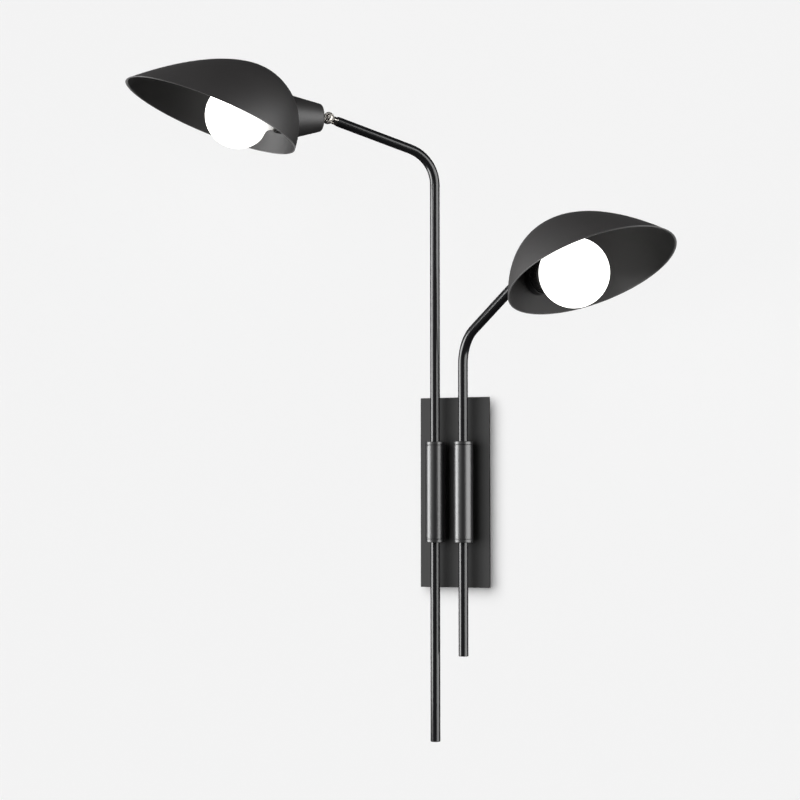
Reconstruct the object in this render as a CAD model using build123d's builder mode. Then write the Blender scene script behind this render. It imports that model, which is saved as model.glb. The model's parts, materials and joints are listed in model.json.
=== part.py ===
"""Two-arm wall sconce: rods that slide and turn in sleeves on a wall plate, each with a tilting shaded lamp."""
import os
from math import cos, radians, sin, tan

from build123d import *

os.makedirs("parts", exist_ok=True)

# Fits, as radial or face-to-face gaps
running_gap = 0.05
seat_gap = 0.05
part_gap = 0.3

# Wall plate, a flat face over a smaller pan open towards the wall; the wall is the plane y = 0
plate_width = 91.0
plate_height = 236.0
plate_depth = 14.0
plate_face = 2.0
plate_sheet = 1.5
plate_edge = 0.6
plate_inset = 7.0
bracket_width = 40.0
bracket_sheet = 2.0
bracket_flange_width = 26.0
bracket_flange_depth = 11.0
wall_hole_spacing = 84.0
wall_hole_d = 5.0
wire_hole_d = 20.0
edge_screw_d = 4.0
edge_screw_head_d = 7.6
edge_screw_head_h = 2.2
edge_screw_length = 9.0
edge_screw_y = -7.0
grommet_x = -28.0
grommet_hole_d = 8.0
grommet_d = 9.6
grommet_bore_d = 6.0
grommet_flange = 1.2

# Sleeves on their spacers
rod_spacing = 36.5
rod_standoff = 36.0
sleeve_d = 24.0
sleeve_wall = 1.5
sleeve_length = 124.0
bush_flange = 4.2
bush_spigot = 8.8
ring_line = 0.4
post_pitch = 37.0
post_d = 8.0
nipple_d = 6.0
nipple_bore_d = 4.0
nipple_tail = 6.0
nut_flats = 10.0
nut_height = 3.0

# Rods and their carriers
rod_d = 12.0
rod_wall = 1.2
bend_radius = 45.0
arm_reach = 144.8
carrier_length = 24.0
carrier_slot = 5.0
clip_d = 16.0
clip_height = 1.2
clip_float = 0.1
plug_head = 1.5
plug_spigot = 8.0
plug_round = 0.8
lead_hole_d = 4.0
lead_hole_z = 24.0
lead_d = 3.4

# Knuckle
knuckle_disc_d = 13.6
knuckle_disc_t = 4.5
knuckle_face_gap = 0.1
knuckle_edge = 0.6
knuckle_screw_d = 4.0
knuckle_screw_head_d = 8.0
knuckle_screw_head_h = 2.0
knuckle_screw_round = 1.5
knuckle_nut_h = 2.4
knuckle_bar = 8.6
collar_d = 9.4
collar_flange_d = 11.2
collar_flange = 1.2
tube_end = 12.0
spigot_length = 12.0
stem_d = 8.0
stem_end = 22.0

# Cup, lampholder and bulb, by their places along the lampholder axis from the knuckle
cup_start = 8.6
cup_start_d = 33.0
cup_slope = 0.25
cup_wall = 1.2
cup_round = 4.0
cup_reach = 62.0
cup_nut_flats = 13.0
cup_nut_height = 4.0
holder_neck_d = 18.0
holder_start = 24.0
holder_floor = 29.0
holder_d = 38.0
holder_nose_d = 35.0
holder_end = 62.0
holder_bore_d = 29.0
shell_wall = 0.5
shell_start = 36.0
contact_d = 8.0
contact_height = 1.5
ring_d = 41.0
ring_length = 13.0
bulb_d = 79.4
bulb_centre = 113.2
bulb_base_d = 26.0
bulb_base_start = 37.0
bulb_base_end = 63.0
bulb_collar_d = 34.0
bulb_collar_end = 71.0
bulb_collar_round = 1.0
bulb_neck_d = 32.0
bulb_flare = 52.0
bulb_glass_t = 0.8
bulb_tip_d = 9.0
bulb_tip_height = 1.5

# Shade: a pressed bowl whose own axis is tilted from the lampholder axis, trimmed by an oblique plane
shade_tilt = -34.35
shade_rise = 69.0
shade_centre = 259.4
shade_back = 195.4
shade_radius = 122.1
shade_squash = 0.95
shade_power_along = 1.3
shade_power_across = 2.35
shade_sheet = 1.2
rim_angle = 22.4
rim_offset = -57.6
shade_hole_d = 39.4
shade_collar_t = 1.5
shade_seat = 52.5
shade_seat_t = 1.5

# Terminal block and earth screw
block_size = (22.0, 8.0, 14.0)
block_z = -70.0
block_hole_d = 3.0
earth_screw_z = 70.0
earth_head_d = 7.0
earth_head_h = 2.4

# Each side: sign, arm azimuth out from the wall, arm rise, head pitch, height of the bend's corner, rod's lower end,
# turn of the shade about the lampholder
SIDES = {
    "left": (-1, 39.1, 16.6, -2.4, 416.8, -305.5, -2.1),
    "right": (1, 40.5, 25.4, -2.5, 185.8, -200.7, 4.0),
}

sleeve_bore_d = sleeve_d - 2 * sleeve_wall
rod_bore_d = rod_d - 2 * rod_wall
plate_front = -plate_depth
pan_floor = plate_front + plate_face
pan_width = plate_width - 2 * plate_inset
pan_height = plate_height - 2 * plate_inset
post_spots = [(s * rod_spacing / 2, z * post_pitch / 2) for s in (-1, 1) for z in (-1, 1)]
flange_top = pan_height / 2 - plate_sheet - part_gap


def save(builder, name):
    """Label a piece and write its file."""
    builder.part.label = name
    export_step(builder.part, f"parts/{name}.step")


def across(x, z, y):
    """Plane at (x, y, z) whose sketches extrude towards the room, away from the wall."""
    return Plane(origin=(x, y, z), x_dir=(1, 0, 0), z_dir=(0, -1, 0))


# Wall bracket: flat strap with a tapped flange at each end
with BuildPart() as wall_bracket:
    Box(bracket_width, bracket_sheet, 2 * flange_top, align=(Align.CENTER, Align.MAX, Align.CENTER))
    for s in (-1, 1):
        with Locations((0, 0, s * (flange_top - bracket_sheet / 2))):
            Box(bracket_flange_width, bracket_flange_depth, bracket_sheet, align=(Align.CENTER, Align.MAX, Align.CENTER))
        with Locations((0, edge_screw_y, s * flange_top)):
            Cylinder(edge_screw_d / 2 + seat_gap, 4 * bracket_sheet, mode=Mode.SUBTRACT)
        with BuildSketch(across(0, s * wall_hole_spacing / 2, 0)):
            Circle(wall_hole_d / 2)
        extrude(amount=bracket_sheet, mode=Mode.SUBTRACT)
    with BuildSketch(across(0, 0, 0)):
        Circle(wire_hole_d / 2)
    extrude(amount=bracket_sheet, mode=Mode.SUBTRACT)
    with BuildSketch(across(0, earth_screw_z, 0)):
        Circle(edge_screw_d / 2 + seat_gap)
    extrude(amount=bracket_sheet, mode=Mode.SUBTRACT)
save(wall_bracket, "wall_bracket")

# Wall plate
with BuildPart() as wall_plate:
    with Locations((0, plate_front, 0)):
        Box(plate_width, plate_face, plate_height, align=(Align.CENTER, Align.MIN, Align.CENTER))
    fillet(wall_plate.faces().sort_by(Axis.Y)[0].edges(), plate_edge)
    Box(pan_width, -pan_floor, pan_height, align=(Align.CENTER, Align.MAX, Align.CENTER))
    Box(pan_width - 2 * plate_sheet, -pan_floor, pan_height - 2 * plate_sheet,
        align=(Align.CENTER, Align.MAX, Align.CENTER), mode=Mode.SUBTRACT)
    for x, z in post_spots:
        with BuildSketch(across(x, z, pan_floor)):
            Circle(nipple_d / 2 + seat_gap)
        extrude(amount=plate_face, mode=Mode.SUBTRACT)
    for s in (-1, 1):
        with Locations((0, edge_screw_y, s * pan_height / 2)):
            Cylinder(edge_screw_d / 2 + seat_gap, 4 * plate_sheet, mode=Mode.SUBTRACT)
    with Locations((grommet_x, edge_screw_y, -pan_height / 2)):
        Cylinder(grommet_hole_d / 2, 4 * plate_sheet, mode=Mode.SUBTRACT)
save(wall_plate, "wall_plate")

# Button-head screws through the pan's upper and lower sides
with BuildPart() as edge_screws:
    for s in (-1, 1):
        seat = Plane(origin=(0, edge_screw_y, s * pan_height / 2), x_dir=(1, 0, 0), z_dir=(0, 0, s))
        with BuildSketch(seat):
            Circle(edge_screw_head_d / 2)
        extrude(amount=edge_screw_head_h)
        top = edge_screws.faces().sort_by(Axis.Z)[-1 if s > 0 else 0]
        fillet(top.edges(), 0.9)
        with BuildSketch(seat):
            Circle(edge_screw_d / 2)
        extrude(amount=-edge_screw_length)
        with BuildSketch(seat.offset(edge_screw_head_h)):
            RegularPolygon(1.4, 6)
        extrude(amount=-1.3, mode=Mode.SUBTRACT)
save(edge_screws, "edge_screws")

# Rubber grommet at the cable's way in
with BuildPart() as cord_grommet:
    low = -pan_height / 2
    with BuildSketch(Plane(origin=(grommet_x, edge_screw_y, low), x_dir=(1, 0, 0), z_dir=(0, -1, 0))):
        with Locations((0, -grommet_flange)):
            Rectangle(grommet_d / 2, grommet_flange, align=(Align.MIN, Align.MIN))
        Rectangle(grommet_hole_d / 2 - seat_gap, plate_sheet, align=(Align.MIN, Align.MIN))
        with Locations((0, plate_sheet)):
            Rectangle(grommet_d / 2, grommet_flange, align=(Align.MIN, Align.MIN))
        with Locations((0, -2 * grommet_flange)):
            Rectangle(grommet_bore_d / 2, plate_sheet + 4 * grommet_flange, align=(Align.MIN, Align.MIN), mode=Mode.SUBTRACT)
    revolve(axis=Axis((grommet_x, edge_screw_y, low), (0, 0, 1)))
save(cord_grommet, "cord_grommet")

# Terminal block and earth screw on the bracket
with BuildPart() as terminal_block:
    with Locations((0, -bracket_sheet, block_z)):
        Box(*block_size, align=(Align.CENTER, Align.MAX, Align.CENTER))
    for s in (-1, 1):
        with Locations((s * block_size[0] / 4, -bracket_sheet - block_size[1] / 2, block_z)):
            Cylinder(block_hole_d / 2, 2 * block_size[2], mode=Mode.SUBTRACT)
save(terminal_block, "terminal_block")

with BuildPart() as earth_screw:
    with BuildSketch(across(0, earth_screw_z, -bracket_sheet)):
        Circle(earth_head_d / 2)
    extrude(amount=earth_head_h)
    with BuildSketch(across(0, earth_screw_z, -bracket_sheet)):
        Circle(edge_screw_d / 2)
    extrude(amount=-(bracket_sheet - 0.1))
    with BuildSketch(across(0, earth_screw_z, -bracket_sheet - earth_head_h)):
        Rectangle(earth_head_d * 1.2, 1.0)
    extrude(amount=-1.0, mode=Mode.SUBTRACT)
save(earth_screw, "earth_screw")

# Spacers between plate and sleeves, with hollow threaded nipples and nuts
with BuildPart() as post_spacers:
    for x, z in post_spots:
        with BuildSketch(across(x, z, plate_front)):
            Circle(post_d / 2)
            Circle(nipple_d / 2 + seat_gap, mode=Mode.SUBTRACT)
        extrude(amount=rod_standoff - plate_depth)
    for s in (-1, 1):
        with Locations((s * rod_spacing / 2, -rod_standoff, 0)):
            Cylinder(sleeve_d / 2, sleeve_length, mode=Mode.SUBTRACT)
save(post_spacers, "post_spacers")

with BuildPart() as post_nipples:
    for x, z in post_spots:
        with BuildSketch(across(x, z, pan_floor + nipple_tail)):
            Circle(nipple_d / 2)
            Circle(nipple_bore_d / 2, mode=Mode.SUBTRACT)
        extrude(amount=rod_standoff - sleeve_bore_d / 2 + pan_floor + nipple_tail - 0.1)
save(post_nipples, "post_nipples")

with BuildPart() as post_nuts:
    for x, z in post_spots:
        with BuildSketch(across(x, z, pan_floor + nut_height)):
            RegularPolygon(nut_flats / 2, 6, major_radius=False)
            Circle(nipple_d / 2 + seat_gap, mode=Mode.SUBTRACT)
        extrude(amount=nut_height)
save(post_nuts, "post_nuts")

# Shade profile: radius of the bowl at a place along its own axis
def bowl_profile(shrink):
    """Points of the bowl's section from its back to its widest place."""
    back = shade_back - shrink
    radius = shade_radius - shrink
    points = []
    for i in range(1, 15):
        share = 1 - (1 - i / 15) ** 2.2
        reach = 1 - share
        points.append((shade_centre - back * reach, radius * (1 - reach ** shade_power_along) ** (1 / shade_power_across)))
    return [(shade_centre - back, 0.0)] + points + [(shade_centre, radius)]


for side, (sign, azimuth, rise, pitch, corner_z, low_z, roll) in SIDES.items():
    rod_x = sign * rod_spacing / 2
    foot = Vector(rod_x, -rod_standoff, 0)
    out = Vector(sign * cos(radians(azimuth)), -sin(radians(azimuth)), 0)
    up = Vector(0, 0, 1)
    arm_dir = out * cos(radians(rise)) + up * sin(radians(rise))
    corner = foot + up * corner_z
    pivot = corner + arm_dir * arm_reach
    head_dir = out * cos(radians(pitch)) + up * sin(radians(pitch))
    hinge_dir = head_dir.cross(up).normalized()
    arm_plane = Plane(origin=pivot, x_dir=arm_dir, z_dir=hinge_dir)
    head_plane = Plane(origin=pivot, x_dir=head_dir, z_dir=hinge_dir)
    head_axis = Axis(pivot, head_dir)
    head_cross = Plane(origin=pivot, x_dir=hinge_dir, z_dir=head_dir)
    arm_cross = Plane(origin=pivot, x_dir=hinge_dir, z_dir=arm_dir)

    # Sleeve tube
    with BuildPart() as sleeve:
        with Locations(foot):
            Cylinder(sleeve_d / 2, sleeve_length - 2 * bush_flange)
        chamfer(sleeve.edges().filter_by(GeomType.CIRCLE), ring_line)
        with Locations(foot):
            Cylinder(sleeve_bore_d / 2, sleeve_length, mode=Mode.SUBTRACT)
        for z in (-1, 1):
            with BuildSketch(across(rod_x, z * post_pitch / 2, -rod_standoff + sleeve_d)):
                Circle(nipple_d / 2 + seat_gap)
            extrude(amount=sleeve_d, mode=Mode.SUBTRACT)
    save(sleeve, f"sleeve_{side}")

    # Guide bushes at the sleeve's ends
    with BuildPart() as bushes:
        for s in (-1, 1):
            end = Plane(origin=foot + up * s * (sleeve_length / 2 - bush_flange), x_dir=(1, 0, 0), z_dir=(0, 0, s))
            with BuildSketch(end):
                Circle(sleeve_d / 2)
            extrude(amount=bush_flange)
            chamfer(bushes.edges(Select.LAST).filter_by(GeomType.CIRCLE), ring_line)
            with BuildSketch(end):
                Circle(sleeve_bore_d / 2 - seat_gap)
            extrude(amount=-bush_spigot)
        with Locations(foot):
            Cylinder(rod_d / 2 + running_gap, 2 * sleeve_length, mode=Mode.SUBTRACT)
    save(bushes, f"guide_bushes_{side}")

    # Carrier that slides in the sleeve and holds the rod endwise
    with BuildPart() as carrier:
        with Locations(foot):
            Cylinder(sleeve_bore_d / 2 - running_gap, carrier_length)
            Cylinder(rod_d / 2 + running_gap, 2 * carrier_length, mode=Mode.SUBTRACT)
        with Locations(foot + Vector(0, sleeve_bore_d / 2, 0)):
            Box(carrier_slot, 3.0, 2 * carrier_length, mode=Mode.SUBTRACT)
    save(carrier, f"slide_carrier_{side}")

    # Rod with its bend and arm
    turn = 90 - rise
    trim = bend_radius * tan(radians(turn / 2))
    rod_start = foot + up * (low_z + plug_head)
    bend_start = corner - up * trim
    bend_end = corner + arm_dir * trim
    bend_mid_dir = (arm_dir - up).normalized()
    bend_centre = corner + bend_mid_dir * (bend_radius / cos(radians(turn / 2)))
    bend_mid = bend_centre - bend_mid_dir * bend_radius
    rod_finish = pivot - arm_dir * tube_end
    with BuildPart() as rod:
        with BuildLine() as path:
            Line(rod_start, bend_start)
            ThreePointArc(bend_start, bend_mid, bend_end)
            Line(bend_end, rod_finish)
        with BuildSketch(Plane(origin=rod_start, z_dir=(0, 0, 1))):
            Circle(rod_d / 2)
            Circle(rod_bore_d / 2, mode=Mode.SUBTRACT)
        sweep(path=path.line)
        with BuildSketch(across(rod_x, lead_hole_z, -rod_standoff + rod_d)):
            Circle(lead_hole_d / 2)
        extrude(amount=rod_d, mode=Mode.SUBTRACT)
    save(rod, f"rod_{side}")

    # Plug closing the rod's lower end
    with BuildPart() as plug:
        with BuildSketch(Plane(origin=rod_start, z_dir=(0, 0, 1))):
            Circle(rod_d / 2)
        extrude(amount=-plug_head)
        fillet(plug.faces().sort_by(Axis.Z)[0].edges(), plug_round)
        with BuildSketch(Plane(origin=rod_start, z_dir=(0, 0, 1))):
            Circle(rod_bore_d / 2 - seat_gap)
        extrude(amount=plug_spigot)
    save(plug, f"rod_plug_{side}")

    # Retaining clips above and below the carrier
    with BuildPart() as clips:
        for s in (-1, 1):
            with BuildSketch(Plane(origin=foot + up * s * (carrier_length / 2 + clip_float), z_dir=(0, 0, s))):
                Circle(clip_d / 2)
                Circle(rod_d / 2 + seat_gap, mode=Mode.SUBTRACT)
            extrude(amount=clip_height)
    save(clips, f"rod_clips_{side}")

    # Two-core lead from the lead hole to the knuckle
    with BuildPart() as lead:
        lead_start = foot + up * lead_hole_z
        lead_finish = pivot - arm_dir * (tube_end + spigot_length - 6)
        with BuildLine() as lead_path:
            Line(lead_start, bend_start)
            ThreePointArc(bend_start, bend_mid, bend_end)
            Line(bend_end, lead_finish)
        with BuildSketch(Plane(origin=lead_start, z_dir=(0, 0, 1))):
            Circle(lead_d / 2)
        sweep(path=lead_path.line)
    save(lead, f"lead_{side}")

    # Knuckle half on the arm: half-thickness disc, bar, collar and spigot
    with BuildPart() as knuckle_arm:
        with BuildSketch(arm_plane.offset(knuckle_face_gap / 2)):
            Circle(knuckle_disc_d / 2)
            Rectangle(tube_end - collar_flange, knuckle_bar, align=(Align.MAX, Align.CENTER))
        extrude(amount=knuckle_disc_t)
        chamfer(knuckle_arm.faces().sort_by(Axis(pivot, hinge_dir))[-1].edges(), knuckle_edge)
        with BuildSketch(arm_cross.offset(-knuckle_disc_d / 2 - part_gap)):
            Circle(collar_d / 2)
        extrude(amount=-(tube_end - knuckle_disc_d / 2 - part_gap))
        with BuildSketch(arm_cross.offset(-tube_end + collar_flange)):
            Circle(collar_flange_d / 2)
        extrude(amount=-collar_flange)
        with BuildSketch(arm_cross.offset(-tube_end)):
            Circle(rod_bore_d / 2 - seat_gap)
        extrude(amount=-spigot_length)
        with BuildSketch(arm_cross.offset(-tube_end - spigot_length)):
            Circle(lead_d / 2 + seat_gap)
        extrude(amount=6 + seat_gap, mode=Mode.SUBTRACT)
        with BuildSketch(arm_plane):
            Circle(knuckle_screw_d / 2 + running_gap)
        extrude(amount=2 * knuckle_disc_t, mode=Mode.SUBTRACT)
    save(knuckle_arm, f"knuckle_arm_{side}")

    # Knuckle half on the head: disc, bar, seat flange and threaded stem
    with BuildPart() as knuckle_head:
        with BuildSketch(head_plane.offset(-knuckle_face_gap / 2)):
            Circle(knuckle_disc_d / 2)
            Rectangle(cup_start, knuckle_bar, align=(Align.MIN, Align.CENTER))
        extrude(amount=-knuckle_disc_t)
        chamfer(knuckle_head.faces().sort_by(Axis(pivot, hinge_dir))[0].edges(), knuckle_edge)
        with BuildSketch(head_cross.offset(knuckle_disc_d / 2 + part_gap)):
            Circle(collar_flange_d / 2)
        extrude(amount=cup_start - knuckle_disc_d / 2 - part_gap)
        with BuildSketch(head_cross.offset(cup_start)):
            Circle(stem_d / 2)
        extrude(amount=stem_end - cup_start)
        with BuildSketch(head_plane):
            Circle(knuckle_screw_d / 2 + seat_gap)
        extrude(amount=-2 * knuckle_disc_t, mode=Mode.SUBTRACT)
    save(knuckle_head, f"knuckle_head_{side}")

    # Slotted knuckle screw, its head on the head half's face, and the nut behind the arm half
    with BuildPart() as knuckle_screw:
        face = head_plane.offset(-knuckle_face_gap / 2 - knuckle_disc_t)
        with BuildSketch(face):
            Circle(knuckle_screw_head_d / 2)
        extrude(amount=-knuckle_screw_head_h)
        outer = knuckle_screw.faces().sort_by(Axis(pivot, hinge_dir))[0]
        fillet(outer.edges(), knuckle_screw_round)
        with BuildSketch(face):
            Circle(knuckle_screw_d / 2)
        extrude(amount=2 * knuckle_disc_t + knuckle_face_gap + part_gap + knuckle_nut_h)
        with BuildSketch(face.offset(-knuckle_screw_head_h)):
            Rectangle(1.1, knuckle_screw_head_d * 1.2, rotation=40)
        extrude(amount=0.9, mode=Mode.SUBTRACT)
    save(knuckle_screw, f"knuckle_screw_{side}")

    with BuildPart() as knuckle_nut:
        with BuildSketch(head_plane.offset(knuckle_face_gap / 2 + knuckle_disc_t + knuckle_face_gap)):
            RegularPolygon(knuckle_screw_head_d / 2, 6)
            Circle(knuckle_screw_d / 2 + seat_gap, mode=Mode.SUBTRACT)
        extrude(amount=knuckle_nut_h)
    save(knuckle_nut, f"knuckle_nut_{side}")

    # The bowl's outer body, used to trim the cup, the collar and the shade
    tilt = radians(shade_tilt)
    shade_up = head_plane.y_dir * cos(radians(roll)) + hinge_dir * sin(radians(roll))
    shade_across = hinge_dir * cos(radians(roll)) - head_plane.y_dir * sin(radians(roll))
    bowl_dir = head_dir * cos(tilt) + shade_up * sin(tilt)
    bowl_origin = pivot + shade_up * shade_rise
    bowl_place = Plane(origin=bowl_origin, x_dir=bowl_dir, z_dir=shade_across).location

    def bowl_body(shrink):
        """The bowl as a filled body, in its place."""
        points = bowl_profile(shrink)
        with BuildPart() as body:
            with BuildSketch(Plane.XY):
                with BuildLine():
                    Spline(*points, tangents=((0, 1), (1, 0)))
                    Polyline(points[-1], (shade_centre, 0), points[0])
                make_face()
            revolve(axis=Axis.X)
        return bowl_place * scale(body.part, by=(1, 1, shade_squash))

    bowl_outer = bowl_body(0)
    bowl_inner = bowl_body(shade_sheet)

    # Tapered cup, its wide end trimmed to the bowl
    with BuildPart() as cup:
        wide = cup_start_d / 2 + cup_slope * (cup_reach - cup_start)
        with BuildSketch(head_plane):
            with BuildLine():
                Polyline((cup_start, 0), (cup_start, cup_start_d / 2), (cup_reach, wide), (cup_reach, wide - cup_wall),
                         (cup_start + cup_wall, cup_start_d / 2 - cup_wall), (cup_start + cup_wall, 0), (cup_start, 0))
            make_face()
        revolve(axis=head_axis)
        outer_edge = cup.edges().filter_by(GeomType.CIRCLE).sort_by(head_axis)[0]
        fillet(outer_edge, cup_round)
        with BuildSketch(head_cross.offset(cup_start)):
            Circle(stem_d / 2 + seat_gap)
        extrude(amount=cup_wall, mode=Mode.SUBTRACT)
        add(bowl_outer, mode=Mode.SUBTRACT)
    save(cup, f"cup_{side}")

    with BuildPart() as cup_nut:
        with BuildSketch(head_cross.offset(cup_start + cup_wall)):
            RegularPolygon(cup_nut_flats / 2, 6, major_radius=False)
            Circle(stem_d / 2 + seat_gap, mode=Mode.SUBTRACT)
        extrude(amount=cup_nut_height)
    save(cup_nut, f"cup_nut_{side}")

    # Shade: bowl skin trimmed at the rim plane, with a collar and seat for the lampholder
    rim_dir = head_dir * cos(radians(rim_angle)) + shade_up * sin(radians(rim_angle))
    rim_up = rim_dir.cross(shade_across) * -1
    rim_plane = Plane(origin=pivot + rim_up * rim_offset, x_dir=rim_dir, z_dir=rim_up)
    with BuildPart() as shade:
        add(bowl_outer)
        add(bowl_inner, mode=Mode.SUBTRACT)
        with BuildSketch(head_cross):
            Circle(shade_hole_d / 2)
        extrude(amount=shade_seat, mode=Mode.SUBTRACT)
        with BuildSketch(rim_plane):
            Rectangle(1200, 1200)
        extrude(amount=-600, mode=Mode.SUBTRACT)
    with BuildPart() as collar:
        with BuildSketch(head_cross.offset(cup_start)):
            Circle(shade_hole_d / 2 + shade_collar_t)
        extrude(amount=shade_seat + shade_seat_t - cup_start)
        with BuildSketch(head_cross.offset(cup_start)):
            Circle(shade_hole_d / 2)
        extrude(amount=shade_seat - cup_start, mode=Mode.SUBTRACT)
        with BuildSketch(head_cross.offset(cup_start)):
            Circle(holder_nose_d / 2 + part_gap)
        extrude(amount=shade_seat + shade_seat_t, mode=Mode.SUBTRACT)
        add(bowl_outer, mode=Mode.INTERSECT)
    with BuildPart() as shade_whole:
        add(shade.part)
        add(collar.part)
    save(shade_whole, f"shade_{side}")

    # Lampholder: neck on the stem, body with a shoulder under the shade's seat, threaded nose
    with BuildPart() as holder:
        neck = cup_start + cup_wall + cup_nut_height
        with BuildSketch(head_plane):
            with BuildLine():
                Polyline((neck, stem_d / 2 + seat_gap), (neck, holder_neck_d / 2), (holder_start, holder_neck_d / 2),
                         (holder_start, cup_start_d / 2), (holder_start + 5, holder_d / 2), (shade_seat, holder_d / 2),
                         (shade_seat, holder_nose_d / 2), (holder_end, holder_nose_d / 2), (holder_end, holder_bore_d / 2),
                         (holder_floor, holder_bore_d / 2), (holder_floor, 0), (stem_end + 1, 0),
                         (stem_end + 1, stem_d / 2 + seat_gap), (neck, stem_d / 2 + seat_gap))
            make_face()
        revolve(axis=head_axis)
    save(holder, f"lampholder_{side}")

    with BuildPart() as ring:
        with BuildSketch(head_cross.offset(shade_seat + shade_seat_t)):
            Circle(ring_d / 2)
            Circle(holder_nose_d / 2 + seat_gap, mode=Mode.SUBTRACT)
        extrude(amount=ring_length)
    save(ring, f"shade_ring_{side}")

    with BuildPart() as shell:
        with BuildSketch(head_cross.offset(shell_start)):
            Circle(holder_bore_d / 2 - seat_gap)
            Circle(holder_bore_d / 2 - seat_gap - shell_wall, mode=Mode.SUBTRACT)
        extrude(amount=holder_end - 2 - shell_start)
    save(shell, f"screw_shell_{side}")

    with BuildPart() as contact:
        with BuildSketch(head_cross.offset(holder_floor)):
            Circle(contact_d / 2)
        extrude(amount=contact_height)
    save(contact, f"centre_contact_{side}")

    # Bulb: opal globe, screw base with its collar, and tip contact
    with BuildPart() as globe:
        flare = radians(bulb_flare)
        for shrink in (0, bulb_glass_t):
            radius = bulb_d / 2 - shrink
            joint = (bulb_centre - radius * cos(flare), radius * sin(flare))
            pole = (bulb_centre + radius, 0)
            middle = (bulb_centre + radius * sin(flare / 2), radius * cos(flare / 2))
            neck_r = bulb_neck_d / 2 - shrink
            with BuildSketch(head_plane):
                with BuildLine():
                    Line((bulb_collar_end, 0), (bulb_collar_end, neck_r))
                    Spline((bulb_collar_end, neck_r), joint, tangents=((1, 0), (sin(flare), cos(flare))))
                    ThreePointArc(joint, middle, pole)
                    Line(pole, (bulb_collar_end, 0))
                make_face()
            revolve(axis=head_axis, mode=Mode.ADD if shrink == 0 else Mode.SUBTRACT)
    save(globe, f"bulb_globe_{side}")

    with BuildPart() as base:
        tip = holder_floor + contact_height + bulb_tip_height
        with BuildSketch(head_plane):
            with BuildLine():
                Polyline((tip, 0), (tip, bulb_tip_d / 2), (bulb_base_start, bulb_base_d / 2 - 1), (bulb_base_start, bulb_base_d / 2),
                         (bulb_base_end, bulb_base_d / 2), (bulb_base_end, bulb_collar_d / 2),
                         (bulb_collar_end, bulb_collar_d / 2), (bulb_collar_end, 0), (tip, 0))
            make_face()
        revolve(axis=head_axis)
        rims = base.edges().filter_by(GeomType.CIRCLE).filter_by(lambda e: abs(e.radius - bulb_collar_d / 2) < 0.01)
        fillet(rims, bulb_collar_round)
    save(base, f"bulb_base_{side}")

    with BuildPart() as tip_contact:
        with BuildSketch(head_cross.offset(holder_floor + contact_height)):
            Circle(bulb_tip_d / 2)
        extrude(amount=bulb_tip_height)
    save(tip_contact, f"bulb_tip_{side}")
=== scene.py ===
"""Dresses the two-arm wall sconce: finishes, ribbed rings, rolled rims, wall, floor, lights and camera."""
import json
import math

import bpy
from bpy.props import FloatProperty, FloatVectorProperty, IntProperty, PointerProperty
from mathutils import Matrix, Vector


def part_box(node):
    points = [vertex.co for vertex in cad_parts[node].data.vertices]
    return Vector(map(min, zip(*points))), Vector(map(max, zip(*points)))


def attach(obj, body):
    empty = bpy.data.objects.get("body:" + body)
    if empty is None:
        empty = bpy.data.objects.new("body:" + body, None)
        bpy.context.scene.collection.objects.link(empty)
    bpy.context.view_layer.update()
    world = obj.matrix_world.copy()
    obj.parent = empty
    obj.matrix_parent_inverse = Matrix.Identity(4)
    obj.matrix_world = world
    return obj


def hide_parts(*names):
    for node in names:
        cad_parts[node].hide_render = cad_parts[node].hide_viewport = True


bl_info = {
    "name": "Two-arm wall sconce",
    "version": (1, 0, 0),
    "blender": (4, 5, 0),
    "location": "View3D > Sidebar > Sconce",
    "description": "Finishes and small details for a wall sconce with two sliding, swinging arms",
    "category": "Object",
}

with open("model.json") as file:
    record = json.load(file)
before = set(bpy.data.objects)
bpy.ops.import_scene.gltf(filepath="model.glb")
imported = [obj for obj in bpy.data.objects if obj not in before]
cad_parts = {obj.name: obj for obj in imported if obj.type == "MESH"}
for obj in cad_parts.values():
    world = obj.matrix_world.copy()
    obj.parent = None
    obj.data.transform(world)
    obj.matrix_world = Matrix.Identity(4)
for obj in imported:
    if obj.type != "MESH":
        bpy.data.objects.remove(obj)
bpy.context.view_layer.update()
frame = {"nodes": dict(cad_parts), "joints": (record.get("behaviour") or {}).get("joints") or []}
NODES = frame["nodes"]
JOINTS = {joint["name"]: joint for joint in frame["joints"]}
SIDES = ("left", "right")
MM = 0.001

# Points of a copied or new mesh that are nearer than this are one point
WELD = 0.001 * MM
# Points and slivers that a bevel leaves within this are merged
BEVEL_WELD = 0.004 * MM
# Edges sharper than the first angle are bevelled, and edges flatter than the second are shaded smooth
SHARP_ANGLE = math.radians(40)
SMOOTH_ANGLE = math.radians(35)
# A face whose normal lies along the axis by more than this is an end face
END_FACE = 0.9
# A face whose normal lies along the axis by less than this is a side face
SIDE_FACE = 0.1

# Sprayed paint: depth of its orange peel, spread of its gloss, width of its clouds in tone
PEEL_DEPTH = 0.05 * MM
GLOSS_SPREAD = 0.04
PAINT_CLOUD = 45 * MM
# Where in the clouds' noise the darkest and the lightest paint are reached
CLOUD_DARK = 0.3
CLOUD_LIGHT = 0.7
# Metal: depth of its marks, its darkest tone, and its least and most roughness, as shares of the given ones
MARK_DEPTH = 0.02 * MM
METAL_DARK = 0.82
METAL_GLOSS = 0.7
METAL_DULL = 1.35
# Plastic and rubber: depth of the mould's grain, width of the drift in tone, its darkest and lightest share
GRAIN_DEPTH = 0.03 * MM
DRIFT = 12 * MM
PLASTIC_DARK = 0.85
PLASTIC_LIGHT = 1.12
# Opal glass: width of the frost's clouds and their darkest share
FROST = 6 * MM
FROST_DARK = 0.97

# Wall paint: width and depth of the roller's marks
ROLLER = 4 * MM
ROLLER_DEPTH = 0.1 * MM
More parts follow.
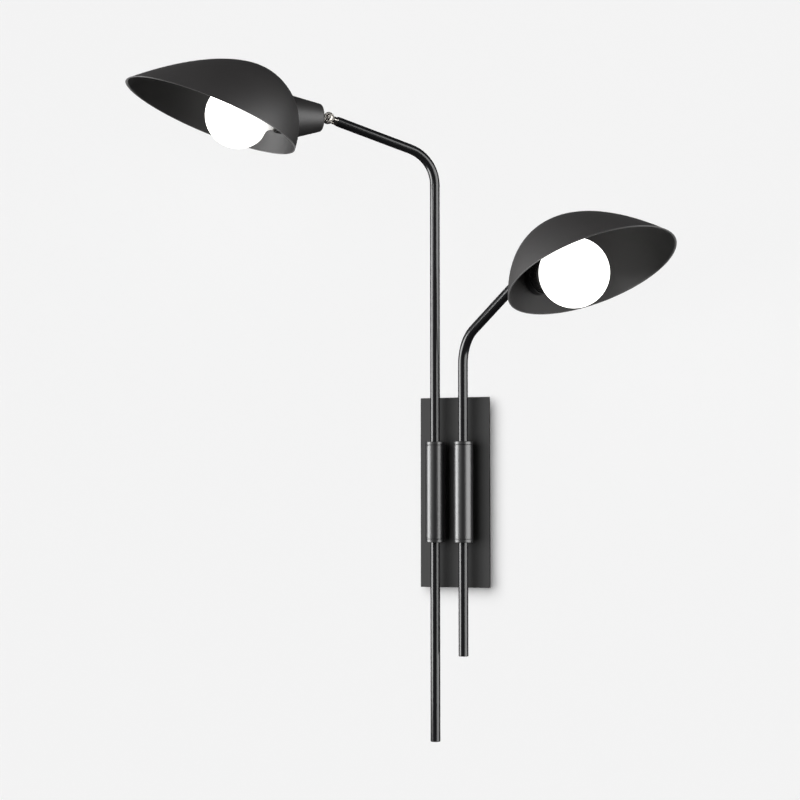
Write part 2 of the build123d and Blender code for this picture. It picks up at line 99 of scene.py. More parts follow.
# Wall and floor: their size, the height of the wall's middle, and the wall's gap to the plate
BACKDROP_SIZE = 7.0
WALL_MIDDLE = 0.6
WALL_GAP = 0.6 * MM
# Radius of the pale surround, in metres
ROOM_RADIUS = 12.0
# The quarter turn that stands the wall up and levels the camera
UPRIGHT = math.radians(90)
# Width of the camera's sensor
SENSOR_MM = 36.0
# Colour of the room's light
WHITE = (1.0, 1.0, 1.0, 1.0)


def linear(code):
    """Turn an sRGB hex colour into the linear values that Blender stores."""
    values = [int(code[i:i + 2], 16) / 255 for i in (1, 3, 5)]
    return tuple(v / 12.92 if v <= 0.04045 else ((v + 0.055) / 1.055) ** 2.4 for v in values)


def tint(colour, share=1.0):
    """A colour made darker or lighter by a share, with full alpha, as shader sockets take it."""
    return (*(min(1.0, channel * share) for channel in colour), 1.0)


class SconceFinishes(bpy.types.PropertyGroup):
    """Colours of the sconce's finishes and the glow of its bulbs."""

    tube_black: FloatVectorProperty(
        name="Tube black", description="Enamel on the rods and sleeves", subtype="COLOR",
        default=linear("#0d0d0e"), min=0, max=1)
    plate_black: FloatVectorProperty(
        name="Plate black", description="Powder coat on the wall plate", subtype="COLOR",
        default=linear("#333333"), min=0, max=1)
    shade_black: FloatVectorProperty(
        name="Shade black", description="Matt paint on the shades, their rims and the cups", subtype="COLOR",
        default=linear("#1c1b1b"), min=0, max=1)
    nickel: FloatVectorProperty(
        name="Nickel", description="Plating of the knuckles", subtype="COLOR",
        default=linear("#b5b1ab"), min=0, max=1)
    opal: FloatVectorProperty(
        name="Opal glass", description="White glass of the globe bulbs", subtype="COLOR",
        default=linear("#fbfaf7"), min=0, max=1)
    glow: FloatProperty(
        name="Bulb glow", description="How brightly the globes shine", default=2.1, min=0, max=20)
    neck_glow: FloatProperty(
        name="Neck glow", description="Share of the glow that is left at the globes' necks", subtype="FACTOR",
        default=0.2, min=0, max=1)


class SconceDetails(bpy.types.PropertyGroup):
    """Sizes of the ribbed rings and rolled rims, and places on the globes."""

    ring_radius: FloatProperty(
        name="Ring radius", description="Outside of the shade ring over its ribs",
        default=20.5 * MM, unit="LENGTH", precision=4)
    ring_bore: FloatProperty(
        name="Ring bore", description="Inside radius of the shade ring",
        default=17.6 * MM, unit="LENGTH", precision=4)
    ring_length: FloatProperty(
        name="Ring length", description="Length of the shade ring along the lamp",
        default=13.0 * MM, unit="LENGTH", precision=4)
    ring_lip: FloatProperty(
        name="Ring lip", description="Plain lip in front of the ribs",
        default=3.5 * MM, unit="LENGTH", precision=4)
    rib_count: IntProperty(
        name="Ring ribs", description="Grip ribs round each shade ring", default=40, min=8, max=120)
    rib_height: FloatProperty(
        name="Rib height", description="How far the ribs stand out",
        default=0.5 * MM, unit="LENGTH", precision=4)
    ring_edge: FloatProperty(
        name="Ring edge", description="Rounding of the shade ring's edges",
        default=0.18 * MM, unit="LENGTH", precision=4)
    globe_neck: FloatProperty(
        name="Globe neck", description="Where the globe's neck begins, from the knuckle",
        default=71.0 * MM, unit="LENGTH", precision=4)
    globe_bright: FloatProperty(
        name="Globe bright", description="Where the globe reaches its full glow, from the knuckle",
        default=98.0 * MM, unit="LENGTH", precision=4)
    rim_angle: FloatProperty(
        name="Rim angle", description="How far the rim rises towards the shade's tip",
        subtype="ANGLE", default=math.radians(22.4))
    rim_drop: FloatProperty(
        name="Rim drop", description="How far the rim lies below the knuckle",
        default=57.6 * MM, unit="LENGTH", precision=4)
    rim_turn: FloatVectorProperty(
        name="Rim turn", description="How far each shade is turned on its lampholder, left and right",
        subtype="EULER", size=2, default=(math.radians(-2.1), math.radians(4.0)))
    rim_height: FloatProperty(
        name="Rim height", description="Height of the rolled rim",
        default=1.0 * MM, unit="LENGTH", precision=4)
    rim_swell: FloatProperty(
        name="Rim swell", description="How far the rolled rim stands out from the sheet",
        default=0.2 * MM, unit="LENGTH", precision=4)
    rim_round: FloatProperty(
        name="Rim round", description="Rounding of the rolled rim's edges",
        default=0.45 * MM, unit="LENGTH", precision=4)


class SconceStage(bpy.types.PropertyGroup):
    """Camera, wall, floor and light of the picture."""

    camera_place: FloatVectorProperty(
        name="Camera place", description="Where the camera stands",
        subtype="TRANSLATION", default=(0.7310, -2.1354, -0.0213))
    camera_pitch: FloatProperty(
        name="Camera pitch", description="How far the camera looks up",
        subtype="ANGLE", default=math.radians(3.475))
    camera_yaw: FloatProperty(
        name="Camera yaw", description="How far the camera looks to the left",
        subtype="ANGLE", default=math.radians(20.76))
    lens: FloatProperty(
        name="Lens", description="Focal length in millimetres", unit="CAMERA", default=81.0, min=10, max=300)
    floor_drop: FloatProperty(
        name="Floor drop", description="How far the floor lies below the mount of the sconce",
        default=1.25, unit="LENGTH")
    wall: FloatVectorProperty(
        name="Wall", description="Paint of the wall and floor", subtype="COLOR",
        default=linear("#e7e7e7"), min=0, max=1)
    room: FloatVectorProperty(
        name="Room", description="Pale surround beyond the wall", subtype="COLOR",
        default=linear("#f4f4f4"), min=0, max=1)
    wall_light: FloatProperty(
        name="Wall light", description="Strength of the light on the wall and floor",
        default=3.2, min=0, max=50)
    wall_light_angle: FloatProperty(
        name="Wall light width", description="How wide the wall light is, for soft shadows",
        subtype="ANGLE", default=math.radians(76))
    wall_light_aim: FloatVectorProperty(
        name="Wall light aim", description="Which way the wall light shines",
        subtype="DIRECTION", default=(0.2, 0.945, -0.37))
    wall_fill: FloatProperty(
        name="Wall fill", description="Light on the wall that casts no shadow", default=0.16, min=0, max=2)
    floor_fill: FloatProperty(
        name="Floor fill", description="Light on the floor that casts no shadow", default=0.62, min=0, max=2)
    key_light: FloatProperty(
        name="Key light", description="Brightness of the key box", default=23.0, min=0, max=500)
    plate_light: FloatProperty(
        name="Plate light", description="Brightness of the broad box on the wall plate",
        default=3.9, min=0, max=100)
    left_light: FloatProperty(
        name="Left light", description="Brightness of the left box", default=16.0, min=0, max=100)
    right_light: FloatProperty(
        name="Right light", description="Brightness of the right box", default=8.0, min=0, max=100)
    back_light: FloatProperty(
        name="Back light", description="Brightness of the box behind the wall", default=7.0, min=0, max=100)
    bounce: FloatProperty(
        name="Wall bounce", description="Light that the wall throws back on the shades' rims",
        default=0.75, min=0, max=10)
    fill: FloatProperty(
        name="Room fill", description="Brightness of the dark room", default=0.035, min=0, max=5)


def add(tree, kind, inputs=None, links=None, stops=(), **settings):
    """Add one shader node with its settings, socket values, incoming links and, for a ramp, its stops."""
    node = tree.nodes.new(kind)
    for key, value in settings.items():
        setattr(node, key, value)
    for key, value in (inputs or {}).items():
        node.inputs[key].default_value = value
    for key, socket in (links or {}).items():
        tree.links.new(socket, node.inputs[key])
    for number, (position, colour) in enumerate(stops):
        node.color_ramp.elements[number].position = position
        node.color_ramp.elements[number].color = colour
    return node


def new_material(name):
    """An empty node material with its output node and Object coordinates."""
    material = bpy.data.materials.new(name)
    material.use_nodes = True
    tree = material.node_tree
    tree.nodes.clear()
    output = add(tree, "ShaderNodeOutputMaterial")
    place = add(tree, "ShaderNodeTexCoord").outputs["Object"]
    return material, tree, output, place


def painted(name, colour, roughness, grain_mm, bump, mottle, sheen=0.5):
    """Sprayed paint on steel: fine orange peel of a given grain, a little mottling in tone and gloss."""
    material, tree, output, place = new_material(name)
    peel = add(tree, "ShaderNodeTexNoise",
               {"Scale": 1 / (grain_mm * MM), "Detail": 3.0, "Roughness": 0.6}, {"Vector": place})
    cloud = add(tree, "ShaderNodeTexNoise", {"Scale": 1 / PAINT_CLOUD, "Detail": 2.0}, {"Vector": place})
    tone = add(tree, "ShaderNodeValToRGB", links={"Fac": cloud.outputs["Fac"]},
               stops=((CLOUD_DARK, tint(colour, 1 - mottle)), (CLOUD_LIGHT, tint(colour, 1 + mottle))))
    gloss = add(tree, "ShaderNodeMapRange",
                {"To Min": roughness - GLOSS_SPREAD, "To Max": roughness + GLOSS_SPREAD},
                {"Value": peel.outputs["Fac"]})
    relief = add(tree, "ShaderNodeBump", {"Strength": bump, "Distance": PEEL_DEPTH},
                 {"Height": peel.outputs["Fac"]})
    shader = add(tree, "ShaderNodeBsdfPrincipled", {"IOR": 1.5, "Specular IOR Level": sheen},
                 {"Base Color": tone.outputs["Color"], "Roughness": gloss.outputs["Result"],
                  "Normal": relief.outputs["Normal"]})
    tree.links.new(shader.outputs["BSDF"], output.inputs["Surface"])
    return material


def plated(name, colour, roughness, mark_mm, bump):
    """Bare or plated metal with marks in tone and gloss, drawn coarser than real ones so that they show."""
    material, tree, output, place = new_material(name)
    marks = add(tree, "ShaderNodeTexNoise",
                {"Scale": 1 / (mark_mm * MM), "Detail": 4.0, "Roughness": 0.55}, {"Vector": place})
    gloss = add(tree, "ShaderNodeMapRange",
                {"To Min": roughness * METAL_GLOSS, "To Max": roughness * METAL_DULL},
                {"Value": marks.outputs["Fac"]})
    tone = add(tree, "ShaderNodeValToRGB", links={"Fac": marks.outputs["Fac"]},
               stops=((0.0, tint(colour, METAL_DARK)), (1.0, tint(colour))))
    relief = add(tree, "ShaderNodeBump", {"Strength": bump, "Distance": MARK_DEPTH},
                 {"Height": marks.outputs["Fac"]})
    shader = add(tree, "ShaderNodeBsdfPrincipled", {"Metallic": 1.0},
                 {"Base Color": tone.outputs["Color"], "Roughness": gloss.outputs["Result"],
                  "Normal": relief.outputs["Normal"]})
    tree.links.new(shader.outputs["BSDF"], output.inputs["Surface"])
    return material


def moulded(name, colour, roughness, grain_mm, bump):
    """Moulded plastic or rubber with its mould's grain, drawn coarser than the real one so that it shows."""
    material, tree, output, place = new_material(name)
    grain = add(tree, "ShaderNodeTexVoronoi", {"Scale": 1 / (grain_mm * MM)}, {"Vector": place},
                feature="SMOOTH_F1")
    drift = add(tree, "ShaderNodeTexNoise", {"Scale": 1 / DRIFT, "Detail": 2.0}, {"Vector": place})
    tone = add(tree, "ShaderNodeValToRGB", links={"Fac": drift.outputs["Fac"]},
               stops=((0.0, tint(colour, PLASTIC_DARK)), (1.0, tint(colour, PLASTIC_LIGHT))))
    relief = add(tree, "ShaderNodeBump", {"Strength": bump, "Distance": GRAIN_DEPTH},
                 {"Height": grain.outputs["Distance"]})
    shader = add(tree, "ShaderNodeBsdfPrincipled", {"Roughness": roughness, "IOR": 1.5},
                 {"Base Color": tone.outputs["Color"], "Normal": relief.outputs["Normal"]})
    tree.links.new(shader.outputs["BSDF"], output.inputs["Surface"])
    return material


def opal_glass(name, colour, glow, dim, knuckle, along, neck, bright):
    """Opal glass, frosted white all through, lit from inside and dimmer towards its neck."""
    material, tree, output, place = new_material(name)
    offset = add(tree, "ShaderNodeVectorMath", {1: knuckle}, {0: place}, operation="SUBTRACT")
    reach = add(tree, "ShaderNodeVectorMath", {1: along}, {0: offset.outputs["Vector"]},
                operation="DOT_PRODUCT")
    shine = add(tree, "ShaderNodeMapRange",
                {"From Min": neck, "From Max": bright, "To Min": dim * glow, "To Max": glow},
                {"Value": reach.outputs["Value"]})
    frost = add(tree, "ShaderNodeTexNoise", {"Scale": 1 / FROST, "Detail": 2.0}, {"Vector": place})
    tone = add(tree, "ShaderNodeValToRGB", links={"Fac": frost.outputs["Fac"]},
               stops=((0.0, tint(colour, FROST_DARK)), (1.0, tint(colour))))
    shader = add(tree, "ShaderNodeBsdfPrincipled",
                 {"Roughness": 0.18, "IOR": 1.5, "Emission Color": tint(colour)},
                 {"Base Color": tone.outputs["Color"], "Emission Strength": shine.outputs["Result"]})
    tree.links.new(shader.outputs["BSDF"], output.inputs["Surface"])
    return material


def dress(material, *names):
    """Give CAD nodes a finish."""
    for name in names:
        mesh = NODES[name].data
        mesh.materials.clear()
        mesh.materials.append(material)


def both(*stems):
    """Node names of both sides for each stem."""
    return [f"{stem}_{side}" for stem in stems for side in SIDES]


def deselect():
    """Leave edit mode and deselect everything, before a new piece is started."""
    if bpy.context.object and bpy.context.object.mode != "OBJECT":
        bpy.ops.object.mode_set(mode="OBJECT")
    bpy.ops.object.select_all(action="DESELECT")


def select_faces(piece, test):
    """Select the faces of a piece in edit mode that pass a test."""
    bpy.ops.mesh.select_all(action="DESELECT")
    bpy.ops.object.mode_set(mode="OBJECT")
    for face in piece.data.polygons:
        face.select = test(face)
    bpy.ops.object.mode_set(mode="EDIT")


def round_edges(piece, width, segments):
    """Bevel a piece's sharp edges, then merge what the bevel leaves double and turn all faces outwards."""
    bevel = piece.modifiers.new("edge", "BEVEL")
    bevel.width = width
    bevel.segments = segments
    bevel.limit_method = "ANGLE"
    bevel.angle_limit = SHARP_ANGLE
    bpy.ops.object.modifier_apply(modifier=bevel.name)
    bpy.ops.object.mode_set(mode="EDIT")
    bpy.ops.mesh.select_all(action="SELECT")
    bpy.ops.mesh.remove_doubles(threshold=BEVEL_WELD)
    bpy.ops.mesh.dissolve_degenerate(threshold=BEVEL_WELD)
    bpy.ops.mesh.normals_make_consistent(inside=False)
    bpy.ops.object.mode_set(mode="OBJECT")


def head_axis(side):
    """Pivot, lamp axis and hinge axis of one head, from its tilt joint and the place of its bulb's tip."""
    joint = JOINTS[f"tilt_{side}"]
    pivot = Vector(joint["pos_m"])
    hinge = Vector(joint["axis"])
    low, high = (Vector(c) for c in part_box(f"bulb_tip_{side}"))
    along = ((low + high) / 2 - pivot).normalized()
    return pivot, along, hinge


class SCONCE_OT_tubes(bpy.types.Operator):
    """Black enamel on the rods and their plugs, the sleeves, guide bushes and post spacers"""
    bl_idname = "sconce.tubes"
    bl_label = "Rods and sleeves"

    def execute(self, context):
        finish = context.scene.sconce_finishes
        # Stoving enamel on drawn tube: black with clear, soft-edged reflections
        rods = painted("gloss enamel on drawn rod", finish.tube_black,
                       roughness=0.2, grain_mm=0.9, bump=0.005, mottle=0.08, sheen=0.32)
        dress(rods, *both("rod", "rod_plug"))
        # The same enamel on turned sleeves: duller, with broader streaks of light
        sleeves = painted("satin enamel on turned sleeve", finish.tube_black,
                          roughness=0.35, grain_mm=0.8, bump=0.006, mottle=0.08, sheen=0.57)
        dress(sleeves, "post_spacers", *both("sleeve", "guide_bushes"))
        return {"FINISHED"}


class SCONCE_OT_plate(bpy.types.Operator):
    """Powder coat on the wall plate and its edge screws, rubber in the cord entry"""
    bl_idname = "sconce.plate"
    bl_label = "Wall plate"

    def execute(self, context):
        finish = context.scene.sconce_finishes
        # Powder coat on folded sheet: dull dark grey, with a fine even grain
        powder = painted("powder coat on sheet", finish.plate_black,
                         roughness=0.5, grain_mm=0.7, bump=0.16, mottle=0.05, sheen=0.35)
        dress(powder, "wall_plate", "edge_screws")
        # Moulded rubber: black and quite without gloss
        rubber = moulded("moulded rubber", linear("#161616"), roughness=0.75, grain_mm=0.5, bump=0.15)
        dress(rubber, "cord_grommet")
        return {"FINISHED"}


class SCONCE_OT_shades(bpy.types.Operator):
    """Matt paint on the scoop shades and their cups"""
    bl_idname = "sconce.shades"
    bl_label = "Shades"

    def execute(self, context):
        finish = context.scene.sconce_finishes
        # Matt sprayed paint on a pressed bowl: soft broad highlights, very fine grain
        matt = painted("matt paint on pressed bowl", finish.shade_black,
                       roughness=0.52, grain_mm=0.6, bump=0.12, mottle=0.06, sheen=0.4)
        dress(matt, *both("shade", "cup"))
        return {"FINISHED"}


class SCONCE_OT_rims(bpy.types.Operator):
    """Rolled rims of the scoop shades"""
    bl_idname = "sconce.rims"
    bl_label = "Shade rims"

    def execute(self, context):
        finish = context.scene.sconce_finishes
        # The bowl's paint, drawn thin and smooth over the rolled edge, which shows as a fine light line
        thin = painted("thin paint on rolled rim", finish.shade_black,
                       roughness=0.34, grain_mm=0.6, bump=0.05, mottle=0.06)
        for side, turn in zip(SIDES, context.scene.sconce_details.rim_turn):
            self.rim(context, side, turn, thin)
        return {"FINISHED"}

    def rim(self, context, side, turn, material):
        """The last strip of the bowl's sheet, cut from a copy of the shade, swelled and rounded."""
        details = context.scene.sconce_details
        pivot, along, hinge = head_axis(side)
        up = hinge.cross(along) * math.cos(turn) + hinge * math.sin(turn)
        rim_up = up * math.cos(details.rim_angle) - along * math.sin(details.rim_angle)
        top = pivot + rim_up * (details.rim_height - details.rim_drop)
        shade = NODES[f"shade_{side}"]
        deselect()
        piece = bpy.data.objects.new(f"rolled_rim_{side}", shade.data.copy())
        piece.data.transform(shade.matrix_world)
        context.collection.objects.link(piece)
        context.view_layer.objects.active = piece
        piece.select_set(True)
        bpy.ops.object.mode_set(mode="EDIT")
        bpy.ops.mesh.select_all(action="SELECT")
        bpy.ops.mesh.remove_doubles(threshold=WELD)
        bpy.ops.mesh.bisect(plane_co=top, plane_no=rim_up, clear_outer=True)
        bpy.ops.mesh.bridge_edge_loops()
        bpy.ops.mesh.select_all(action="SELECT")
        bpy.ops.mesh.normals_make_consistent(inside=False)
        bpy.ops.transform.shrink_fatten(value=details.rim_swell)
        bpy.ops.object.mode_set(mode="OBJECT")
        round_edges(piece, details.rim_round, segments=3)
        bpy.ops.object.shade_smooth_by_angle(angle=SMOOTH_ANGLE)
        piece.data.materials.clear()
        piece.data.materials.append(material)
        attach(piece, f"head_{side}")


class SCONCE_OT_knuckles(bpy.types.Operator):
    """Nickel plate on the knuckles and their screws"""
    bl_idname = "sconce.knuckles"
    bl_label = "Knuckles"

    def execute(self, context):
        finish = context.scene.sconce_finishes
        # Nickel plate on turned steel: a grey mirror, slightly warm, with bright and dark facets
        nickel = plated("nickel plate on turned steel", finish.nickel, roughness=0.1, mark_mm=0.8, bump=0.05)
        dress(nickel, *both("knuckle_arm", "knuckle_head", "knuckle_screw", "knuckle_nut"))
        return {"FINISHED"}


class SCONCE_OT_lampholders(bpy.types.Operator):
    """Lampholders, ribbed shade rings, bulb bases, and the brass contacts and slide carriers"""
    bl_idname = "sconce.lampholders"
    bl_label = "Lampholders"

    def execute(self, context):
        # Moulded phenolic: black, slightly glossy
        phenolic = moulded("moulded phenolic", linear("#1a1919"), roughness=0.38, grain_mm=0.8, bump=0.05)
        # Drawn brass: warm yellow metal with soft reflections
        brass = plated("drawn brass", linear("#c9a25a"), roughness=0.28, mark_mm=1.0, bump=0.05)
        # Spun aluminium of the bulb's screw base: pale grey metal with soft reflections
        aluminium = plated("spun aluminium", linear("#c8c8c4"), roughness=0.3, mark_mm=0.7, bump=0.05)
        dress(phenolic, *both("lampholder"))
        dress(brass, *both("screw_shell", "centre_contact", "bulb_tip", "slide_carrier"))
        dress(aluminium, *both("bulb_base"))
        for side in SIDES:
            self.ring(context, side, phenolic)
        return {"FINISHED"}

    def ring(self, context, side, material):
        """A ring with grip ribs behind a plain lip, bored to the lampholder's nose."""
        details = context.scene.sconce_details
        pivot, along, hinge = head_axis(side)
        low, high = (Vector(c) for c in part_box(f"shade_ring_{side}"))
        centre = pivot + along * ((low + high) / 2 - pivot).dot(along)
        outer = details.ring_radius - details.rib_height
        half_wall = (outer + details.ring_bore) / 2
        lip = details.ring_length / 2 - details.ring_lip
        deselect()
        # One facet for each rib and one for each gap
        facets = 2 * details.rib_count
        bpy.ops.mesh.primitive_cylinder_add(vertices=facets, radius=outer, depth=details.ring_length)
        piece = context.object
        piece.name = f"ribbed_ring_{side}"
        bpy.ops.object.mode_set(mode="EDIT")
        bpy.ops.mesh.select_mode(type="FACE")
        select_faces(piece, lambda face: abs(face.normal.z) > END_FACE)
        bpy.ops.mesh.inset(thickness=outer - details.ring_bore, use_individual=True)
        bpy.ops.mesh.bridge_edge_loops()
        bpy.ops.mesh.select_all(action="SELECT")
        bpy.ops.mesh.bisect(plane_co=(0, 0, lip), plane_no=(0, 0, 1))
        bpy.ops.object.mode_set(mode="OBJECT")
        sides = [face for face in piece.data.polygons if abs(face.normal.z) < SIDE_FACE]
        around = [face for face in sides if face.center.xy.length > half_wall and face.center.z < lip]
        around.sort(key=lambda face: math.atan2(face.center.y, face.center.x))
        ribs = {face.index for face in around[::2]}
        bpy.ops.object.mode_set(mode="EDIT")
        select_faces(piece, lambda face: face.index in ribs)
        bpy.ops.mesh.extrude_region_shrink_fatten(TRANSFORM_OT_shrink_fatten={"value": details.rib_height})
        bpy.ops.mesh.select_all(action="SELECT")
        bpy.ops.mesh.remove_doubles(threshold=WELD)
        bpy.ops.mesh.normals_make_consistent(inside=False)
        bpy.ops.object.mode_set(mode="OBJECT")
        round_edges(piece, details.ring_edge, segments=2)
        turn = Matrix((hinge, along.cross(hinge), along)).transposed().to_4x4()
        piece.data.transform(Matrix.Translation(centre) @ turn)
        bpy.ops.object.shade_smooth_by_angle(angle=SMOOTH_ANGLE)
        piece.data.materials.append(material)
        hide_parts(f"shade_ring_{side}")
        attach(piece, f"head_{side}")


class SCONCE_OT_bulbs(bpy.types.Operator):
    """Opal globes, lit"""
    bl_idname = "sconce.bulbs"
    bl_label = "Globe bulbs"

    def execute(self, context):
        finish = context.scene.sconce_finishes
        details = context.scene.sconce_details
        for side in SIDES:
            knuckle, along, _ = head_axis(side)
            # Opal glass over a lamp: white and even, greyer where the neck goes into its collar
            opal = opal_glass(f"opal glass, lit, {side}", finish.opal, finish.glow, finish.neck_glow,
                              knuckle, along, details.globe_neck, details.globe_bright)
            dress(opal, f"bulb_globe_{side}")
        return {"FINISHED"}


class SCONCE_OT_fixings(bpy.types.Operator):
    """Bracket, nuts, nipples, clips, leads and terminal block behind and inside the parts"""
    bl_idname = "sconce.fixings"
    bl_label = "Fixings and wiring"

    def execute(self, context):
        # Zinc-plated steel: pale grey metal with a dull bloom
        zinc = plated("zinc-plated steel", linear("#b4b6b8"), roughness=0.36, mark_mm=3.0, bump=0.05)
        dress(zinc, "wall_bracket", "post_nipples", "post_nuts", *both("rod_clips", "cup_nut"))
        # Turned brass of the earth screw: warm yellow metal
        brass = plated("brass earth screw", linear("#c9a25a"), roughness=0.3, mark_mm=1.0, bump=0.05)
        dress(brass, "earth_screw")
        # Moulded nylon: off-white with a soft gloss
        nylon = moulded("white nylon", linear("#d9d7d0"), roughness=0.45, grain_mm=0.9, bump=0.05)
        dress(nylon, "terminal_block")
        # Extruded insulation of the leads: black and smooth, with a dull gloss
        insulation = moulded("lead insulation", linear("#1c1c1c"), roughness=0.5, grain_mm=0.6, bump=0.05)
        dress(insulation, *both("lead"))
        return {"FINISHED"}


class SCONCE_OT_stage(bpy.types.Operator):
    """Pale wall and floor, studio lights and the camera"""
    bl_idname = "sconce.stage"
    bl_label = "Stage"

    def execute(self, context):
        stage = context.scene.sconce_stage
        backdrop = self.backdrop(context, stage)
        self.lights(context, stage, backdrop)
        self.camera(context, stage)
        context.scene.view_settings.view_transform = "Standard"
        return {"FINISHED"}

    def paint(self, name, stage, fill):
        """Rolled matt paint, clear from its back, with a little light of its own."""
        material, tree, output, place = new_material(name)
        roller = add(tree, "ShaderNodeTexNoise", {"Scale": 1 / ROLLER, "Detail": 3.0}, {"Vector": place})
        relief = add(tree, "ShaderNodeBump", {"Strength": 0.04, "Distance": ROLLER_DEPTH},
                     {"Height": roller.outputs["Fac"]})
        paint = add(tree, "ShaderNodeBsdfPrincipled",
                    {"Base Color": tint(stage.wall), "Roughness": 0.9, "Specular IOR Level": 0.0,
                     "Emission Color": tint(stage.wall), "Emission Strength": fill},
                    {"Normal": relief.outputs["Normal"]})
        clear = add(tree, "ShaderNodeBsdfTransparent")
        side = add(tree, "ShaderNodeNewGeometry")
        mix = add(tree, "ShaderNodeMixShader", links={"Fac": side.outputs["Backfacing"]})
        tree.links.new(paint.outputs["BSDF"], mix.inputs[1])
        tree.links.new(clear.outputs["BSDF"], mix.inputs[2])
        tree.links.new(mix.outputs["Shader"], output.inputs["Surface"])
        return material

    def backdrop(self, context, stage):
        """A wall behind the plate, a floor below and a pale surround."""
        wall = self.paint("matt wall paint", stage, stage.wall_fill)
        floor = self.paint("matt floor paint", stage, stage.floor_fill)
        pieces = []
        for name, material, place, turn in (
                ("backdrop_wall", wall, (0, WALL_GAP, WALL_MIDDLE), (UPRIGHT, 0, 0)),
                ("backdrop_floor", floor, (0, 0, -stage.floor_drop), (0, 0, 0))):
            deselect()
            bpy.ops.mesh.primitive_plane_add(size=BACKDROP_SIZE, location=place, rotation=turn)
            piece = context.object
            piece.name = name
            bpy.ops.object.transform_apply(location=True, rotation=True, scale=True)
            piece.data.materials.append(material)
            pieces.append(piece)
        deselect()
        bpy.ops.mesh.primitive_uv_sphere_add(segments=48, ring_count=24, radius=ROOM_RADIUS)
        room = context.object
        room.name = "backdrop_room"
        # An even pale glow, as of a wide studio sweep, which only the camera sees
        glow, tree, output, _ = new_material("pale surround")
        shine = add(tree, "ShaderNodeEmission", {"Color": tint(stage.room), "Strength": 1.0})
        tree.links.new(shine.outputs["Emission"], output.inputs["Surface"])
        room.data.materials.append(glow)
        for piece in pieces + [room]:
            piece.visible_diffuse = False
            piece.visible_glossy = False
            piece.visible_shadow = False
        return pieces

    def group(self, name, members):
        """A collection for light linking."""
        collection = bpy.data.collections.new(name)
        for member in members:
            collection.objects.link(member)
        return collection

    def lights(self, context, stage, backdrop):
        """A dark room, a soft sun for the wall and floor alone, and boxes that each light their own parts."""
        world = bpy.data.worlds.new("studio")
        world.use_nodes = True
        background = world.node_tree.nodes["Background"]
        background.inputs["Color"].default_value = WHITE
        background.inputs["Strength"].default_value = stage.fill
        context.scene.world = world
        plate = NODES["wall_plate"]
        meshes = [item for item in context.scene.objects if item.type == "MESH"]
        parts = [item for item in meshes if not item.name.startswith("backdrop")]
        rounded = self.group("lit by the key and side boxes", [part for part in parts if part != plate])
        # How the names of the parts that stay on the wall begin
        fixed = ("wall", "edge", "post", "earth", "terminal", "cord", "sleeve")
        mount = self.group("lit by the back box", [part for part in parts if part.name.startswith(fixed)])
        sconce = self.group("lit by the bulbs", parts)
        for side in SIDES:
            NODES[f"bulb_globe_{side}"].light_linking.receiver_collection = sconce
        flat = self.group("lit by the plate box", [plate])
        rims = self.group("lit by the wall", [part for part in parts if part.name.startswith("rolled_rim")])
        deselect()
        bpy.ops.object.light_add(type="SUN")
        sun = context.object
        sun.name = "wall light"
        sun.data.energy = stage.wall_light
        sun.data.angle = stage.wall_light_angle
        # Sampled directly only: rays that the wall scatters would stop at the heads, which cast no shadow
        sun.data.cycles.use_multiple_importance_sampling = False
        sun.rotation_euler = Vector(stage.wall_light_aim).to_track_quat("-Z", "Y").to_euler()
        sun.light_linking.receiver_collection = self.group("lit by the wall light", backdrop)
        sun.light_linking.blocker_collection = self.group("shading the wall", [plate])
        self.box(context, "key box", stage.key_light, rounded,
                 azimuth=-24, elevation=27, reach=4.0, size=(1.6, 1.6), middle=0.12)
        self.box(context, "plate box", stage.plate_light, flat,
                 azimuth=-22, elevation=0, reach=2.2, size=(2.2, 1.6), middle=0.0)
        self.box(context, "wall bounce", stage.bounce, rims,
                 azimuth=180, elevation=0, reach=0.0, size=(1.6, 1.6), middle=0.3)
        self.box(context, "back box", stage.back_light, mount,
                 azimuth=172, elevation=28, reach=2.8, size=(2.0, 2.0), middle=0.12)
        self.box(context, "left box", stage.left_light, rounded,
                 azimuth=-61, elevation=0, reach=1.5, size=(1.0, 1.6), middle=0.38)
        self.box(context, "right box", stage.right_light, rounded,
                 azimuth=81, elevation=0, reach=1.5, size=(1.7, 1.8), middle=0.3)

    def box(self, context, name, shine, lit, azimuth, elevation, reach, size, middle):
        """A light box that looks at a height above the mount, from an azimuth and elevation in degrees."""
        across = math.radians(azimuth)
        rise = math.radians(elevation)
        away = Vector((math.sin(across) * math.cos(rise), -math.cos(across) * math.cos(rise), math.sin(rise)))
        deselect()
        bpy.ops.object.light_add(type="AREA", location=Vector((0, 0, middle)) + reach * away)
        lamp = context.object
        lamp.name = name
        lamp.data.shape = "RECTANGLE"
        lamp.data.size, lamp.data.size_y = size
        # The power that makes the box's face as bright as shine, whatever its size
        lamp.data.energy = shine * math.pi * size[0] * size[1]
        lamp.rotation_euler = (-away).to_track_quat("-Z", "Y").to_euler()
        lamp.light_linking.receiver_collection = lit
        lamp.visible_camera = False

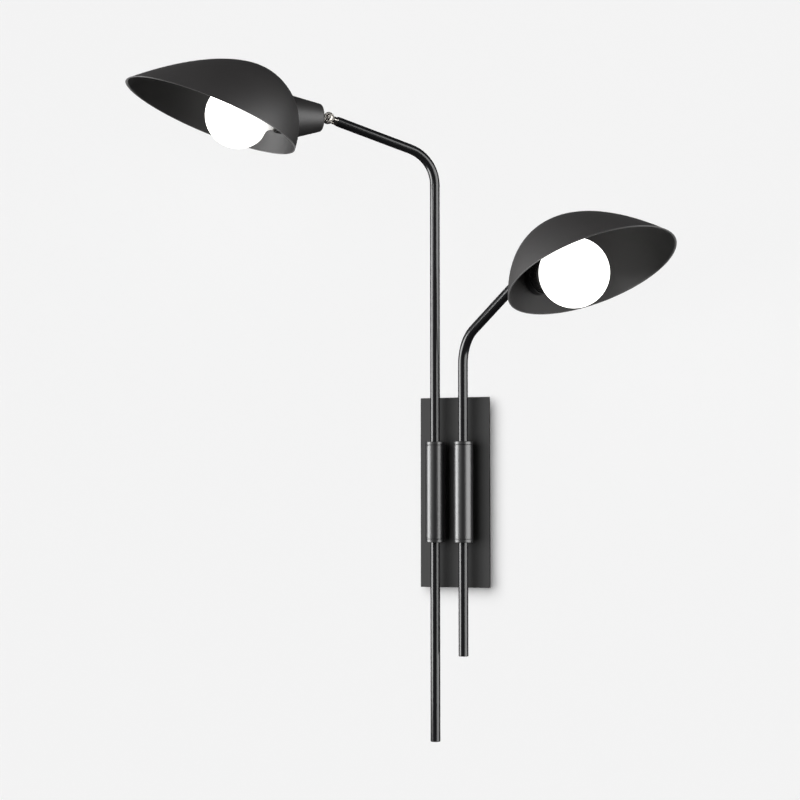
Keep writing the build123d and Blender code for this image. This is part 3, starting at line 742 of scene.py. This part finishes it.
    def camera(self, context, stage):
        """The camera, looking slightly up and to the left from the front right."""
        deselect()
        bpy.ops.object.camera_add(location=stage.camera_place,
                                  rotation=(UPRIGHT + stage.camera_pitch, 0, stage.camera_yaw))
        camera = context.object
        camera.data.lens = stage.lens
        camera.data.sensor_width = SENSOR_MM
        context.scene.camera = camera


STEPS = (SCONCE_OT_tubes, SCONCE_OT_plate, SCONCE_OT_shades, SCONCE_OT_rims, SCONCE_OT_knuckles,
         SCONCE_OT_lampholders, SCONCE_OT_bulbs, SCONCE_OT_fixings, SCONCE_OT_stage)
GROUPS = {"sconce_finishes": SconceFinishes, "sconce_details": SconceDetails, "sconce_stage": SconceStage}


class SCONCE_PT_panel(bpy.types.Panel):
    """Sizes, colours and steps of the sconce"""
    bl_idname = "SCONCE_PT_panel"
    bl_label = "Wall sconce"
    bl_space_type = "VIEW_3D"
    bl_region_type = "UI"
    bl_category = "Sconce"

    def draw(self, context):
        for group in GROUPS:
            box = self.layout.box()
            values = getattr(context.scene, group)
            for name in values.bl_rna.properties.keys():
                if name not in {"rna_type", "name"}:
                    box.prop(values, name)
        for step in STEPS:
            self.layout.operator(step.bl_idname)


def register():
    """Register the groups of values, the steps and the panel."""
    for name, group in GROUPS.items():
        bpy.utils.register_class(group)
        setattr(bpy.types.Scene, name, PointerProperty(type=group))
    for step in STEPS:
        bpy.utils.register_class(step)
    bpy.utils.register_class(SCONCE_PT_panel)


def unregister():
    """Take back what register adds, in reverse order."""
    bpy.utils.unregister_class(SCONCE_PT_panel)
    for step in reversed(STEPS):
        bpy.utils.unregister_class(step)
    for name, group in reversed(GROUPS.items()):
        delattr(bpy.types.Scene, name)
        bpy.utils.unregister_class(group)


def main():
    """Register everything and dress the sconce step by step."""
    register()
    bpy.ops.sconce.tubes()
    bpy.ops.sconce.plate()
    bpy.ops.sconce.shades()
    bpy.ops.sconce.rims()
    bpy.ops.sconce.knuckles()
    bpy.ops.sconce.lampholders()
    bpy.ops.sconce.bulbs()
    bpy.ops.sconce.fixings()
    bpy.ops.sconce.stage()
    deselect()


if __name__ == "__main__":
    main()
